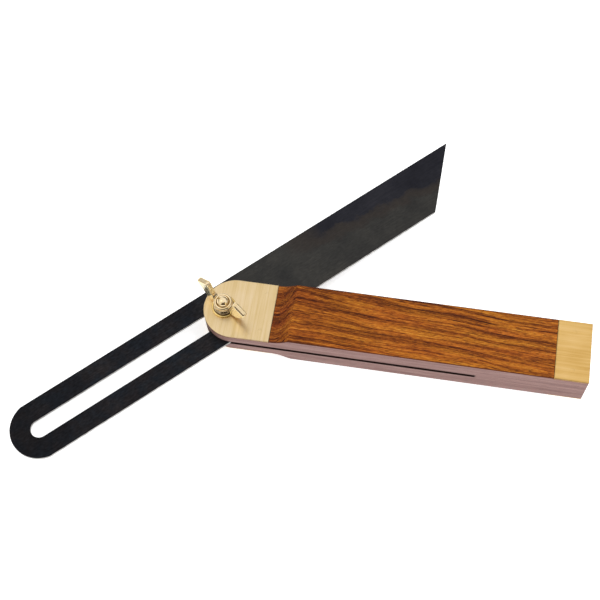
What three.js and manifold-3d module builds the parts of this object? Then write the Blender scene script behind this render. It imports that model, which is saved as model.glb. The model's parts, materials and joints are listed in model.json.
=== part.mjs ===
// Sliding bevel: a slotted steel blade turns and slides in the saw kerf of a wooden stock, and a
// brass wing nut on the pivot screw squeezes the kerf's cheeks onto it.
// Millimetres. +X runs along the stock to its tail, +Z points out of the front face. The origin is
// on the stock's flat back face, which lies on the bench.
// Shapes are drawn about the pivot axis, with z = 0 in the middle of the kerf, and the whole tool is
// then moved to its origin.
import * as THREE from "three";
import { mergeVertices } from "three/addons/utils/BufferGeometryUtils.js";
import Module from "manifold-3d";

const wasm = await Module();
wasm.setup();

// Stock
const STOCK_WIDTH = 26.4;
const STOCK_THICKNESS = 18.4;
const STOCK_TAIL = 152.2; // pivot axis to tail end
const HEAD_CENTRE = 4.6; // pivot axis to the centre of the rounded head end
const HEAD_THICKNESS = 12.1; // over both head plates
const RAMP_START = 22; // the head's thin part ends here
const RAMP_END = 30; // the stock has its full thickness from here
const RAMP_FOOT = 4; // how far the ramp's hollow foot reaches
const RAMP_BROW = 1.6; // how far its tighter upper rounding reaches
const ORIGIN_FROM_PIVOT = 90; // the origin's distance tailward of the pivot axis

// Kerf, cut by a circular saw fed in from the head
const KERF_WIDTH = 1.7;
const KERF_NEAR_END = 107; // where the cut runs out on the near edge
const SAW_RADIUS = 76;
const SAW_AXIS_OFFSET = 52; // saw arbor to the stock's centre line, on the far side

// Brass plates, let in flush
const PLATE_THICKNESS = 0.8;
const HEAD_PLATE_END = 21.2;
const TAIL_PLATE_LENGTH = 14;
const SEAM = 0.1; // between a plate's end and the wood

// Plate pins, driven in and filed flush
const PIN_RADIUS = 0.8;
const PIN_LENGTH = 4.5;
const PIN_HOLE_RADIUS = 0.85;
const PIN_SPREAD = 8.5; // pin axis to the stock's centre line
const HEAD_PIN_X = 17;
const TAIL_PIN_X = STOCK_TAIL - TAIL_PLATE_LENGTH / 2;

// Blade
const BLADE_ANGLE = THREE.MathUtils.degToRad(43.6);
const BLADE_WIDTH = 25.4;
const BLADE_THICKNESS = 1.4;
const BLADE_TIP = 127.15; // pivot axis to the tip's point, on the long edge
const TIP_ANGLE = THREE.MathUtils.degToRad(45);
const BLADE_END_RADIUS = 13;
const BLADE_END_CENTRE = -89.8;
const SLOT_RADIUS = 3.75;
const SLOT_OUTER_CENTRE = -90.5;
const SLOT_INNER_CENTRE = 4;

// Pivot screw and bush
const SCREW_RADIUS = 2.5;
const SCREW_TOP = 7.5; // above the front head plate
const SCREW_TIP_RISE = 1.8;
const SCREW_HEAD_RADIUS = 5.5;
const SCREW_HEAD_RIM = 0.6;
const SCREW_HEAD_RISE = 1.8;
const NECK_SIDE = 5;
const NECK_HOLE_SIDE = 5.3;
const SCREW_HOLE_RADIUS = 2.65;
const BUSH_RADIUS = 3.6;
const BUSH_BORE_RADIUS = 2.6;
const BUSH_LENGTH = 8.8;
const BUSH_HOLE_RADIUS = 3.75;

// Washer and wing nut, with heights above the front head plate
const WASHER_RADIUS = 5.15;
const WASHER_THICKNESS = 1;
const NUT_ANGLE = THREE.MathUtils.degToRad(-31.7);
const NUT_BORE_RADIUS = 2.6;
const NUT_FOOT_RADIUS = 4.4;
const NUT_NECK_RADIUS = 3.3;
const NUT_COLLAR_RADIUS = 3.95;
const NUT_NECK_HEIGHT = 3.4;
const NUT_TOP = 5.7;
const NUT_EDGE = 0.5; // the foot's upright rim, and the collar's chamfers
const WING_THICKNESS = 2.4;
// The wing's corners, seen from its flat side: distance from the axis, height, and how far the
// rounding reaches along each side.
const WING_CORNERS = [
  { out: 3.1, up: 1.6, rounding: 0 },
  { out: 8.6, up: 1.9, rounding: 2.8 },
  { out: 13.6, up: 10, rounding: 1.3 },
  { out: 7, up: 13.7, rounding: 1.6 },
  { out: 5.1, up: 5.6, rounding: 2 },
  { out: 3.1, up: 5, rounding: 0 },
];

const CURVE_SEGMENTS = 20;
const ROUND_SEGMENTS = 36;
const PIN_SEGMENTS = 16;
const OVERCUT = 20; // how far a cutter reaches past the stock
const FLAT_TO_UPRIGHT = Math.PI / 2;

const headSurface = HEAD_THICKNESS / 2;
const stockSurface = STOCK_THICKNESS / 2;
const halfWidth = STOCK_WIDTH / 2;
const halfBlade = BLADE_WIDTH / 2;

const FINISHES = {
  wood: { color: 0xa9632b, roughness: 0.42, metalness: 0 },
  satinBrass: { color: 0xe0c48c, roughness: 0.38, metalness: 1 },
  polishedBrass: { color: 0xd8b868, roughness: 0.2, metalness: 1 },
  bluedSteel: { color: 0x24262a, roughness: 0.36, metalness: 0.9 },
};

// A solid from a closed three.js geometry. Triangles that merging flattens, such as those at the
// pole of a turned shape, are left out.
function solid(geometry) {
  geometry.deleteAttribute("normal");
  geometry.deleteAttribute("uv");
  const merged = mergeVertices(geometry);
  const corners = merged.index.array;
  const kept = [];
  for (let i = 0; i < corners.length; i += 3) {
    const [a, b, c] = corners.slice(i, i + 3);
    if (a !== b && b !== c && c !== a) kept.push(a, b, c);
  }
  const vertProperties = merged.attributes.position.array;
  return new wasm.Manifold(new wasm.Mesh({ numProp: 3, vertProperties, triVerts: Uint32Array.from(kept) }));
}

function part(name, body, finish) {
  const { vertProperties, triVerts } = body.getMesh();
  const geometry = new THREE.BufferGeometry();
  geometry.setAttribute("position", new THREE.BufferAttribute(vertProperties, 3));
  geometry.setIndex(new THREE.BufferAttribute(triVerts, 1));
  geometry.computeVertexNormals();
  const mesh = new THREE.Mesh(geometry, new THREE.MeshStandardMaterial({ ...finish, flatShading: true }));
  mesh.name = name;
  return mesh;
}

// An outline in plan, made into a slab from z = bottom to z = top.
function slab(outline, bottom, top) {
  const options = { depth: top - bottom, bevelEnabled: false, curveSegments: CURVE_SEGMENTS };
  const geometry = new THREE.ExtrudeGeometry(outline, options);
  geometry.translate(0, 0, bottom);
  return solid(geometry);
}

// An outline drawn in x and z, made into a slab of this width, centred on y = 0.
function uprightSlab(outline, width) {
  const options = { depth: width, bevelEnabled: false, curveSegments: CURVE_SEGMENTS };
  const geometry = new THREE.ExtrudeGeometry(outline, options);
  geometry.rotateX(FLAT_TO_UPRIGHT);
  geometry.translate(0, width / 2, 0);
  return solid(geometry);
}

function block(low, high) {
  const size = new THREE.Vector3().subVectors(high, low);
  const centre = new THREE.Vector3().addVectors(low, high).multiplyScalar(0.5);
  const geometry = new THREE.BoxGeometry(size.x, size.y, size.z);
  geometry.translate(centre.x, centre.y, centre.z);
  return solid(geometry);
}

function rod(radius, x, y, bottom, top, segments = ROUND_SEGMENTS) {
  const geometry = new THREE.CylinderGeometry(radius, radius, top - bottom, segments);
  geometry.rotateX(FLAT_TO_UPRIGHT);
  geometry.translate(x, y, (bottom + top) / 2);
  return solid(geometry);
}

// A profile of (radius, z) points turned about the pivot axis.
function turned(profile) {
  const geometry = new THREE.LatheGeometry(profile, ROUND_SEGMENTS);
  geometry.rotateX(FLAT_TO_UPRIGHT);
  return solid(geometry);
}

function ring(inner, outer, bottom, top) {
  return turned([
    new THREE.Vector2(inner, bottom),
    new THREE.Vector2(outer, bottom),
    new THREE.Vector2(outer, top),
    new THREE.Vector2(inner, top),
    new THREE.Vector2(inner, bottom),
  ]);
}

// Points of a shallow dome, from its rim at height rim to its crown, which is rise above the rim.
function domeProfile(radius, rim, rise) {
  const sphere = (radius ** 2 + rise ** 2) / (2 * Math.abs(rise));
  const reach = Math.asin(radius / sphere);
  const steps = 5;
  const points = [];
  for (let i = 0; i <= steps; i++) {
    const angle = reach * (1 - i / steps);
    const height = sphere * (Math.cos(angle) - Math.cos(reach)) * Math.sign(rise);
    points.push(new THREE.Vector2(sphere * Math.sin(angle), rim + height));
  }
  return points;
}

// The stock's outline in plan, from the rounded head end to a square end at x = end.
function headOutline(end) {
  const outline = new THREE.Shape();
  outline.moveTo(end, -halfWidth);
  outline.lineTo(end, halfWidth);
  outline.absarc(HEAD_CENTRE, 0, halfWidth, Math.PI / 2, (3 * Math.PI) / 2, false);
  return outline;
}

// The stock seen from its edge: full thickness behind, and a thin head reached by a hollow ramp on
// each face.
function edgeOutline() {
  const foot = RAMP_START + RAMP_FOOT;
  const brow = RAMP_END - RAMP_BROW;
  const outline = new THREE.Shape();
  outline.moveTo(STOCK_TAIL, -stockSurface);
  outline.lineTo(STOCK_TAIL, stockSurface);
  outline.lineTo(RAMP_END, stockSurface);
  outline.bezierCurveTo(brow, stockSurface, foot, headSurface, RAMP_START, headSurface);
  outline.lineTo(-OVERCUT, headSurface);
  outline.lineTo(-OVERCUT, -headSurface);
  outline.lineTo(RAMP_START, -headSurface);
  outline.bezierCurveTo(foot, -headSurface, brow, -stockSurface, RAMP_END, -stockSurface);
  return outline;
}

// The space the saw leaves: the band behind its arbor, and a quarter of its own disc.
function kerf() {
  const nearDrop = SAW_AXIS_OFFSET + halfWidth;
  const sawX = KERF_NEAR_END - Math.sqrt(SAW_RADIUS ** 2 - nearDrop ** 2);
  const path = new THREE.Shape();
  path.moveTo(-OVERCUT, SAW_AXIS_OFFSET - SAW_RADIUS);
  path.lineTo(sawX, SAW_AXIS_OFFSET - SAW_RADIUS);
  path.absarc(sawX, SAW_AXIS_OFFSET, SAW_RADIUS, -Math.PI / 2, 0, false);
  path.lineTo(-OVERCUT, SAW_AXIS_OFFSET);
  return slab(path, -KERF_WIDTH / 2, KERF_WIDTH / 2);
}

// The rebates that a pair of plates sits in, on both faces, for x between two ends.
function plateRebates(start, end, surface) {
  const floor = surface - PLATE_THICKNESS;
  const front = block(
    new THREE.Vector3(start, -OVERCUT, floor),
    new THREE.Vector3(end, OVERCUT, surface + OVERCUT),
  );
  const back = block(
    new THREE.Vector3(start, -OVERCUT, -surface - OVERCUT),
    new THREE.Vector3(end, OVERCUT, -floor),
  );
  return front.add(back);
}

// One pin, or its hole. The outer end is level with the plate; side is 1 in front and -1 behind.
function pin(x, y, surface, side, radius) {
  const ends = [side * surface, side * (surface - PIN_LENGTH)];
  return rod(radius, x, y, Math.min(...ends), Math.max(...ends), PIN_SEGMENTS);
}

// Where every pin goes, and the surface that its plate makes.
function pinPlaces() {
  const places = [];
  for (const [end, x, surface] of [["head", HEAD_PIN_X, headSurface], ["tail", TAIL_PIN_X, stockSurface]]) {
    for (const [face, side] of [["front", 1], ["back", -1]]) {
      for (const [edge, y] of [["near", -PIN_SPREAD], ["far", PIN_SPREAD]]) {
        places.push({ name: `${end}_pin_${face}_${edge}`, end, x, y, surface, side });
      }
    }
  }
  return places;
}

function drillPins(body, end) {
  const holes = pinPlaces().filter((place) => place.end === end);
  return holes.reduce(
    (rest, { x, y, surface, side }) => rest.subtract(pin(x, y, surface, side, PIN_HOLE_RADIUS)),
    body,
  );
}

function stock() {
  const bored = slab(headOutline(STOCK_TAIL), -stockSurface, stockSurface)
    .intersect(uprightSlab(edgeOutline(), 2 * OVERCUT))
    .subtract(kerf())
    .subtract(plateRebates(-OVERCUT, HEAD_PLATE_END + SEAM, headSurface))
    .subtract(plateRebates(STOCK_TAIL - TAIL_PLATE_LENGTH - SEAM, STOCK_TAIL + OVERCUT, stockSurface))
    .subtract(rod(BUSH_HOLE_RADIUS, 0, 0, -stockSurface, stockSurface));
  return part("stock", drillPins(drillPins(bored, "head"), "tail"), FINISHES.wood);
}

function headPlate(name, side, hole) {
  const faces = [side * headSurface, side * (headSurface - PLATE_THICKNESS)];
  const plate = slab(headOutline(HEAD_PLATE_END), Math.min(...faces), Math.max(...faces));
  return part(name, drillPins(plate.subtract(hole), "head"), FINISHES.satinBrass);
}

function tailPlate(name, side) {
  const faces = [side * stockSurface, side * (stockSurface - PLATE_THICKNESS)];
  const plate = block(
    new THREE.Vector3(STOCK_TAIL - TAIL_PLATE_LENGTH, -halfWidth, Math.min(...faces)),
    new THREE.Vector3(STOCK_TAIL, halfWidth, Math.max(...faces)),
  );
  return part(name, drillPins(plate, "tail"), FINISHES.satinBrass);
}

function squarePost(side, bottom, top) {
  return block(new THREE.Vector3(-side / 2, -side / 2, bottom), new THREE.Vector3(side / 2, side / 2, top));
}

function plates() {
  const roundHole = rod(SCREW_HOLE_RADIUS, 0, 0, -stockSurface, stockSurface);
  const squareHole = squarePost(NECK_HOLE_SIDE, -stockSurface, 0);
  return [
    headPlate("head_plate_front", 1, roundHole),
    headPlate("head_plate_back", -1, squareHole),
    tailPlate("tail_plate_front", 1),
    tailPlate("tail_plate_back", -1),
  ];
}

function pins() {
  return pinPlaces().map(({ name, x, y, surface, side }) =>
    part(name, pin(x, y, surface, side, PIN_RADIUS), FINISHES.satinBrass),
  );
}

// The screw's domed head is under the back head plate, and its square neck fills the plate's
// square hole, so the screw stays still while the nut turns.
function pivotScrew() {
  const headRim = -headSurface - SCREW_HEAD_RIM;
  const tipRim = headSurface + SCREW_TOP - SCREW_TIP_RISE;
  const shank = turned([
    ...domeProfile(SCREW_HEAD_RADIUS, headRim, -SCREW_HEAD_RISE).reverse(),
    new THREE.Vector2(SCREW_HEAD_RADIUS, -headSurface),
    new THREE.Vector2(SCREW_RADIUS, -headSurface),
    ...domeProfile(SCREW_RADIUS, tipRim, SCREW_TIP_RISE),
  ]);
  const neck = squarePost(NECK_SIDE, -headSurface - SCREW_HEAD_RIM / 2, PLATE_THICKNESS - headSurface);
  return part("pivot_screw", shank.add(neck), FINISHES.polishedBrass);
}

// A brass sleeve on the screw. It takes up the difference between the screw and the blade's slot.
function slotBush() {
  const sleeve = ring(BUSH_BORE_RADIUS, BUSH_RADIUS, -BUSH_LENGTH / 2, BUSH_LENGTH / 2);
  return part("slot_bush", sleeve, FINISHES.polishedBrass);
}

function washer() {
  const disc = ring(SCREW_HOLE_RADIUS, WASHER_RADIUS, headSurface, headSurface + WASHER_THICKNESS);
  return part("washer", disc, FINISHES.polishedBrass);
}

// The blade lies along +X here, with its long edge on the +Y side.
function bladeOutline() {
  const cornerAngle = Math.asin(halfBlade / BLADE_END_RADIUS);
  const outline = new THREE.Shape();
  outline.moveTo(BLADE_TIP - BLADE_WIDTH / Math.tan(TIP_ANGLE), -halfBlade);
  outline.lineTo(BLADE_TIP, halfBlade);
  outline.absarc(BLADE_END_CENTRE, 0, BLADE_END_RADIUS, Math.PI - cornerAngle, Math.PI + cornerAngle, false);
  const slot = new THREE.Path();
  slot.absarc(SLOT_OUTER_CENTRE, 0, SLOT_RADIUS, Math.PI / 2, (3 * Math.PI) / 2, false);
  slot.absarc(SLOT_INNER_CENTRE, 0, SLOT_RADIUS, -Math.PI / 2, Math.PI / 2, false);
  outline.holes.push(slot);
  return outline;
}

function blade() {
  const body = slab(bladeOutline(), -BLADE_THICKNESS / 2, BLADE_THICKNESS / 2);
  const mesh = part("blade", body, FINISHES.bluedSteel);
  const turn = new THREE.Group();
  turn.rotation.z = BLADE_ANGLE;
  return turn.add(mesh);
}

// The nut's round body: a spreading foot, a neck and a rounded collar, with a clear bore.
function nutBody() {
  const foot = headSurface + WASHER_THICKNESS;
  const neck = headSurface + NUT_NECK_HEIGHT;
  const top = headSurface + NUT_TOP;
  return turned([
    new THREE.Vector2(NUT_BORE_RADIUS, foot),
    new THREE.Vector2(NUT_FOOT_RADIUS, foot),
    new THREE.Vector2(NUT_FOOT_RADIUS, foot + NUT_EDGE),
    new THREE.Vector2(NUT_NECK_RADIUS, neck),
    new THREE.Vector2(NUT_COLLAR_RADIUS, neck + NUT_EDGE),
    new THREE.Vector2(NUT_COLLAR_RADIUS, top - NUT_EDGE),
    new THREE.Vector2(NUT_COLLAR_RADIUS - NUT_EDGE, top),
    new THREE.Vector2(NUT_BORE_RADIUS, top),
    new THREE.Vector2(NUT_BORE_RADIUS, foot),
  ]);
}

// One wing, in x and z. It leans outwards, and its top slopes down to the outer end.
function wingOutline() {
  const outline = new THREE.Shape();
  const corners = WING_CORNERS.map(({ out, up }) => new THREE.Vector2(out, up));
  const count = corners.length;
  corners.forEach((corner, i) => {
    const { rounding } = WING_CORNERS[i];
    const before = towards(corner, corners[(i + count - 1) % count], rounding);
    const after = towards(corner, corners[(i + 1) % count], rounding);
    if (i === 0) outline.moveTo(before.x, before.y);
    else outline.lineTo(before.x, before.y);
    if (rounding > 0) outline.quadraticCurveTo(corner.x, corner.y, after.x, after.y);
  });
  return outline;
}

// The point at this distance from one point on the way to another.
function towards(from, to, distance) {
  return new THREE.Vector2().subVectors(to, from).setLength(distance).add(from);
}

function wingNut() {
  const wing = uprightSlab(wingOutline(), WING_THICKNESS).translate([0, 0, headSurface]);
  const opposite = wing.rotate([0, 0, 180]);
  const mesh = part("wing_nut", nutBody().add(wing).add(opposite), FINISHES.polishedBrass);
  const turn = new THREE.Group();
  turn.rotation.z = NUT_ANGLE;
  return turn.add(mesh);
}

const bevel = new THREE.Group();
bevel.add(stock(), ...plates(), ...pins(), pivotScrew(), slotBush(), washer(), blade(), wingNut());
bevel.position.set(-ORIGIN_FROM_PIVOT, 0, stockSurface);

export default bevel;
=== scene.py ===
"""Sliding bevel: the visible pieces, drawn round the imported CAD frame.

Meshes are drawn in millimetres in the frame's own axes and scaled to metres when they are finished.
"""

import json
import math

import bpy
from mathutils import Matrix, Vector, geometry


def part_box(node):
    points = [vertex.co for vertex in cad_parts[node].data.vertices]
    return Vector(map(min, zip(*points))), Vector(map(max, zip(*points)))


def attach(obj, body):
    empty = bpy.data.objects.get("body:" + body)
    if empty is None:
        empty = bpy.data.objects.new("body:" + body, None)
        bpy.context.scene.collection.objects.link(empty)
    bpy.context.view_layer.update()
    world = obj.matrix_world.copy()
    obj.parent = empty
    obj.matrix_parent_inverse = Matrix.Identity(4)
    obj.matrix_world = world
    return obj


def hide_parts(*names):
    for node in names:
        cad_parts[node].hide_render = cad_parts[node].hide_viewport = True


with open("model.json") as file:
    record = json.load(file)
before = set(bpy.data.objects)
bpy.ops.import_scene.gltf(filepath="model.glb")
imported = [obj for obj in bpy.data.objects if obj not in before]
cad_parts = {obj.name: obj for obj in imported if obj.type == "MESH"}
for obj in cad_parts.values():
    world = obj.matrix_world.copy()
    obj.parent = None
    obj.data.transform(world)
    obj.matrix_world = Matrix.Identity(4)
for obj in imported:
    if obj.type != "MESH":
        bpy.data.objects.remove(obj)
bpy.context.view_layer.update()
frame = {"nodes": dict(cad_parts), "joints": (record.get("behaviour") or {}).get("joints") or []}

MM = 0.001
TWO_PI = 2 * math.pi
QUARTER_TURN = math.pi / 2


# ---------------------------------------------------------------- sizes, from the frame

def box_mm(node):
    low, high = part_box(node)
    return low / MM, high / MM


joints = {joint["name"]: joint for joint in frame["joints"]}
PIVOT = Vector(joints["blade_swing"]["pos_m"]) / MM
SLIDE = Vector(joints["blade_slide"]["axis"])
BLADE_ANGLE = math.atan2(SLIDE.y, SLIDE.x)

stock_low, stock_high = box_mm("stock")
head_low, head_high = box_mm("head_plate_front")
tail_low, tail_high = box_mm("tail_plate_front")
washer_low, washer_high = box_mm("washer")
screw_low, screw_high = box_mm("pivot_screw")
bush_low, bush_high = box_mm("slot_bush")
blade_low, blade_high = box_mm("blade")

MIDDLE = PIVOT.z  # the kerf's middle plane
HALF_WIDTH = stock_high.y
FRONT = head_high.z - MIDDLE  # the front head plate's face, above the kerf's middle
PLATE = head_high.z - head_low.z
RAMP_START = PIVOT.x + 22.0
RAMP_END = PIVOT.x + 30.0

# A round saw cut the kerf from the head, so the cut ends in an arc and is longer on the far edge.
KERF_HALF = 0.85
KERF_NEAR_END = PIVOT.x + 107.0
SAW_RADIUS = 76.0
SAW_Y = 52.0
SAW_X = KERF_NEAR_END - math.sqrt(SAW_RADIUS**2 - (SAW_Y + HALF_WIDTH) ** 2)

AT_PIVOT = Matrix.Translation(PIVOT)
EDGE_TO_UPRIGHT = Matrix.Rotation(QUARTER_TURN, 4, "X")

ROUND_STEPS = 96
LONGEST_REACH = 0.48  # share of a side that a rounding may take, so two of them never meet
SQUARE = ((-1, -1), (1, -1), (1, 1), (-1, 1))  # a square's corners, anticlockwise


# ---------------------------------------------------------------- outlines

def arc(centre, radius, start, end, steps):
    """Points on an arc, both ends included. Angles in radians."""
    points = []
    for i in range(steps + 1):
        angle = start + (end - start) * i / steps
        points.append(Vector((centre[0] + radius * math.cos(angle), centre[1] + radius * math.sin(angle))))
    return points


def circle(centre, radius, steps):
    return arc(centre, radius, 0, TWO_PI, steps)[:-1]


def bezier(a, b, c, d, steps):
    """Points on a cubic curve from a to d, both ends included."""
    points = []
    for i in range(steps + 1):
        t = i / steps
        s = 1 - t
        points.append(s**3 * a + 3 * s * s * t * b + 3 * s * t * t * c + t**3 * d)
    return points


def rounded(corners, steps=6):
    """A closed outline from (x, y, reach) corners. The rounding reaches that far along each side."""
    outline = []
    count = len(corners)
    for i, (x, y, reach) in enumerate(corners):
        corner = Vector((x, y))
        if reach == 0:
            outline.append(corner)
            continue
        before = Vector(corners[i - 1][:2]) - corner
        after = Vector(corners[(i + 1) % count][:2]) - corner
        start = corner + before.normalized() * min(reach, LONGEST_REACH * before.length)
        end = corner + after.normalized() * min(reach, LONGEST_REACH * after.length)
        for k in range(steps + 1):
            t = k / steps
            outline.append((1 - t) ** 2 * start + 2 * t * (1 - t) * corner + t * t * end)
    return outline


def soften(profile, reach, steps=4):
    """A (radius, z) profile with rounded corners. A third number sets a corner's own reach."""
    corners = [(p[0], p[1], p[2] if len(p) > 2 else reach) for p in profile]
    return [(p.x, p.y) for p in rounded(corners, steps)]


def inset(loop, distance):
    """The closed loop moved to its left by a distance. Material lies to the left of a loop."""
    moved = []
    for i, point in enumerate(loop):
        back = (point - loop[i - 1]).normalized()
        ahead = (loop[(i + 1) % len(loop)] - point).normalized()
        n1 = Vector((-back.y, back.x))
        n2 = Vector((-ahead.y, ahead.x))
        moved.append(point + (n1 + n2) * (distance / (1 + n1.dot(n2))))
    return moved


# ---------------------------------------------------------------- mesh makers

def make_object(name, vertices, faces):
    mesh = bpy.data.meshes.new(name)
    mesh.from_pydata([tuple(v) for v in vertices], [], faces)
    mesh.validate()
    piece = bpy.data.objects.new(name, mesh)
    bpy.context.scene.collection.objects.link(piece)
    return piece


def rim_rows(bottom, top, rounding, steps):
    """(how far in, level) rows up the rim of a plate, with its two edges rounded."""
    if rounding == 0:
        return [(0, bottom), (0, top)]
    lower = []
    for k in range(steps + 1):
        angle = QUARTER_TURN * k / steps
        lower.append((rounding * (1 - math.sin(angle)), bottom + rounding * (1 - math.cos(angle))))
    return lower + [(away, bottom + top - level) for away, level in reversed(lower)]


def slab(name, loops, bottom, top, rounding=0.0, steps=4):
    """A plate with these loops in plan. The first is its outside and the others are holes."""
    vertices = []
    faces = []
    bottom_rings = []
    top_rings = []
    for loop in loops:
        rows = []
        for away, level in rim_rows(bottom, top, rounding, steps):
            ring = inset(loop, away) if away else loop
            rows.append(range(len(vertices), len(vertices) + len(ring)))
            vertices += [Vector((p.x, p.y, level)) for p in ring]
        for low, high in zip(rows, rows[1:]):
            count = len(low)
            faces += [(low[i], low[(i + 1) % count], high[(i + 1) % count], high[i]) for i in range(count)]
        bottom_rings.append(rows[0])
        top_rings.append(rows[-1])
    for rings, faces_down in ((bottom_rings, True), (top_rings, False)):
        flat = [i for ring in rings for i in ring]
        triangles = geometry.tessellate_polygon([[vertices[i] for i in ring] for ring in rings])
        for triangle in triangles:
            corners = [flat[i] for i in triangle]
            normal = geometry.normal([vertices[i] for i in corners])
            if (normal.z > 0) == faces_down:
                corners.reverse()
            faces.append(corners)
    return make_object(name, vertices, faces)


def turned(name, profile, segments=ROUND_STEPS, shape=None):
    """A closed (radius, z) profile turned about the Z axis. Points on the axis become poles."""
    vertices = []
    faces = []
    rows = []
    for radius, level in profile:
        if radius == 0:
            rows.append([len(vertices)])
            vertices.append(Vector((0, 0, level)))
            continue
        rows.append(range(len(vertices), len(vertices) + segments))
        for i in range(segments):
            angle = TWO_PI * i / segments
            reach = shape(radius, level, angle) if shape else radius
            vertices.append(Vector((reach * math.cos(angle), reach * math.sin(angle), level)))
    hollow = profile[0][0] > 0
    next_rows = rows[1:] + rows[:1] if hollow else rows[1:]
    for low, high in zip(rows, next_rows):
        for i in range(segments):
            j = (i + 1) % segments
            if len(low) == 1:
                faces.append((low[0], high[j], high[i]))
            elif len(high) == 1:
                faces.append((low[i], low[j], high[0]))
            else:
                faces.append((low[i], low[j], high[j], high[i]))
    return make_object(name, vertices, faces)


def box_piece(name, low, high):
    corners = [(low[0], low[1]), (high[0], low[1]), (high[0], high[1]), (low[0], high[1])]
    return slab(name, [[Vector(corner) for corner in corners]], low[2], high[2])


def rod(name, centre, radius, bottom, top, steps=ROUND_STEPS):
    """A plain upright cylinder, used as a cutter."""
    return slab(name, [circle(centre, radius, steps)], bottom, top)


def move(piece, matrix):
    piece.data.transform(matrix)


def apply_modifiers(piece):
    """Puts the modifiers' result into the mesh."""
    graph = bpy.context.evaluated_depsgraph_get()
    mesh = bpy.data.meshes.new_from_object(piece.evaluated_get(graph))
    piece.modifiers.clear()
    piece.data = mesh


def cut(piece, tool, operation="DIFFERENCE"):
    """Cuts piece with tool, or joins or intersects them, and deletes the tool."""
    modifier = piece.modifiers.new("cut", "BOOLEAN")
    modifier.operation = operation
    modifier.solver = "EXACT"
    modifier.object = tool
    bpy.context.view_layer.update()
    apply_modifiers(piece)
    bpy.data.objects.remove(tool)


def finish_mesh(piece, sharp_angle=40):
    """Scales the mesh to metres and shades it smooth, with flat faces kept flat."""
    mesh = piece.data
    mesh.transform(Matrix.Scale(MM, 4))
    mesh.polygons.foreach_set("use_smooth", [True] * len(mesh.polygons))
    mesh.set_sharp_from_angle(angle=math.radians(sharp_angle))
    weights = piece.modifiers.new("flat_faces", "WEIGHTED_NORMAL")
    weights.keep_sharp = True
    return piece


def place(piece, body, material, slot, node):
    """Gives a piece its material and its CAD body, and lets it stand for its CAD node."""
    piece.data.materials.clear()
    piece.data.materials.append(material)
    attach(piece, body)
    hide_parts(node)


# ---------------------------------------------------------------- node helpers

# A Mix node has sockets for each kind of data under the same names, and a Mix Shader node has two
# sockets of one name, so they are found by place.
MIX_NUMBERS = (2, 3)
MIX_NUMBER_RESULT = 0
MIX_COLOURS = (6, 7)
MIX_COLOUR_RESULT = 2
MIX_SHADERS = (1, 2)


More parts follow.
